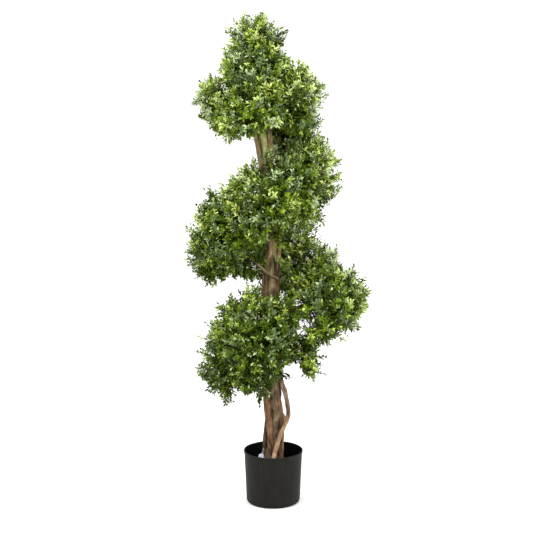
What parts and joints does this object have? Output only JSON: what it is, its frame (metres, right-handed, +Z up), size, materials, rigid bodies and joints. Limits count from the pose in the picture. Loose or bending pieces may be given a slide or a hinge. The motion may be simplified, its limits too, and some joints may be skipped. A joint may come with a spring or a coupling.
{
  "type": "potted artificial spiral topiary",
  "caption": "Artificial spiral topiary: masses of small box leaves wind round a bundle of wood stems in a round black nursery pot.",
  "frame": {"origin": "centre of the flat underside of the pot, on the surface that the plant stands on", "axes": "+Z up the trunk to the head; -Y towards the front, the side on which the middle turn of foliage crosses the trunk; +X to the right as seen from the front"},
  "size_m": [0.5306, 0.4488, 1.4577],
  "materials": {
    "pot": "satin",
    "filler": "matte",
    "grey_bark": "matte",
    "brown_bark": "matte",
    "twig_bark": "matte",
    "leaves": "satin",
    "film": "gloss"
  },
  "bodies": {
    "root": {"pot": "pot", "filler": "filler", "trunk_main": "grey_bark", "trunk_left": "brown_bark", "trunk_right": "brown_bark", "trunk_back": "brown_bark", "runner_lower": "brown_bark", "runner_upper": "brown_bark", "bough_high_back": "twig_bark", "bough_high_front": "twig_bark", "bough_high_left": "twig_bark", "bough_high_right": "twig_bark", "bough_low_back": "twig_bark", "bough_low_droop": "twig_bark", "bough_low_front": "twig_bark", "bough_low_left": "twig_bark", "bough_low_right": "twig_bark", "bough_low_shoulder": "twig_bark", "bough_mid_back": "twig_bark", "bough_mid_front": "twig_bark", "bough_mid_left": "twig_bark", "bough_mid_right": "twig_bark", "bough_mid_shoulder": "twig_bark", "foliage_dome": "leaves", "foliage_high_back": "leaves", "foliage_high_front": "leaves", "foliage_high_left": "leaves", "foliage_high_right": "leaves", "foliage_low_back": "leaves", "foliage_low_droop": "leaves", "foliage_low_front": "leaves", "foliage_low_left": "leaves", "foliage_low_right": "leaves", "foliage_low_shoulder": "leaves", "foliage_mid_back": "leaves", "foliage_mid_front": "leaves", "foliage_mid_left": "leaves", "foliage_mid_right": "leaves", "foliage_mid_shoulder": "leaves", "packing_film": "film"}
  },
  "joints": []
}
